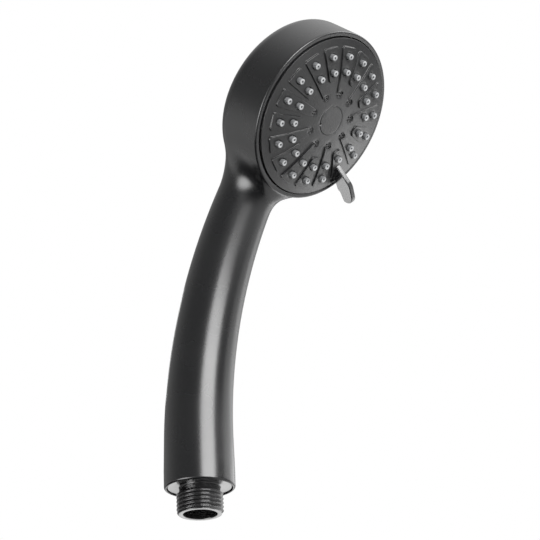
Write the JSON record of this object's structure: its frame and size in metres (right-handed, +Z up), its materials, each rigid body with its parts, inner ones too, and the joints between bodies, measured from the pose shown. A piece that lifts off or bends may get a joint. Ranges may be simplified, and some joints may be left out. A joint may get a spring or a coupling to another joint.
{
  "type": "handheld shower head",
  "caption": "Handheld shower head: curved tubular handle blending into a round tilted head, domed spray face that turns with a small lever, threaded hose inlet.",
  "frame": {"origin": "centre of the hose thread at its first full turn", "axes": "+Z up the handle along the thread axis, the spray face looks towards -Y and down, +X to the right seen from behind the handle"},
  "size_m": [0.0811, 0.1136, 0.2179],
  "materials": {
    "body_black": "satin black moulded shell",
    "gloss_black": "gloss black, lightly chromed on the connector",
    "lever_black": "black chrome lever",
    "face_black": "satin dark grey, fine grained",
    "silicone_grey": "matt grey silicone",
    "seal_black": "matt",
    "inner_white": "plain moulded",
    "inner_grey": "plain moulded",
    "limiter_blue": "plain moulded",
    "steel": "bright stainless steel"
  },
  "bodies": {
    "handset": {"body": "body_black", "hose_connector": "gloss_black", "connector_seal": "seal_black", "filter_screen": "steel", "flow_limiter": "limiter_blue", "inner_tube": "inner_white", "tube_seals": "seal_black", "valve_seat": "inner_white", "seat_seal": "seal_black", "seat_screws": "steel", "port_seals": "seal_black", "port_springs": "steel", "thrust_washer": "inner_white", "spindle_seal": "seal_black", "detent_spring": "steel", "retaining_washer": "steel", "centre_screw": "steel"},
    "spray_head": {"rotor_back": "inner_grey", "chamber_gasket": "seal_black", "nozzle_mat": "silicone_grey", "massage_jets": "gloss_black", "spray_plate": "face_black", "centre_cap": "face_black", "selector_lever": "lever_black"},
    "detent": {"detent_ball": "steel"}
  },
  "joints": [
    {"name": "spray_selector", "type": "hinge", "parent": "handset", "child": "spray_head", "pos_m": [0, -0.0767, 0.1705], "axis": [0, -0.7826, -0.6225], "range_deg": [0, 80]},
    {"name": "detent_click", "type": "slide", "parent": "handset", "child": "detent", "axis": [0, -0.7826, -0.6225], "range_m": [0, 0.00045], "stiffness_N_per_m": 100, "springref_m": 0.02}
  ]
}
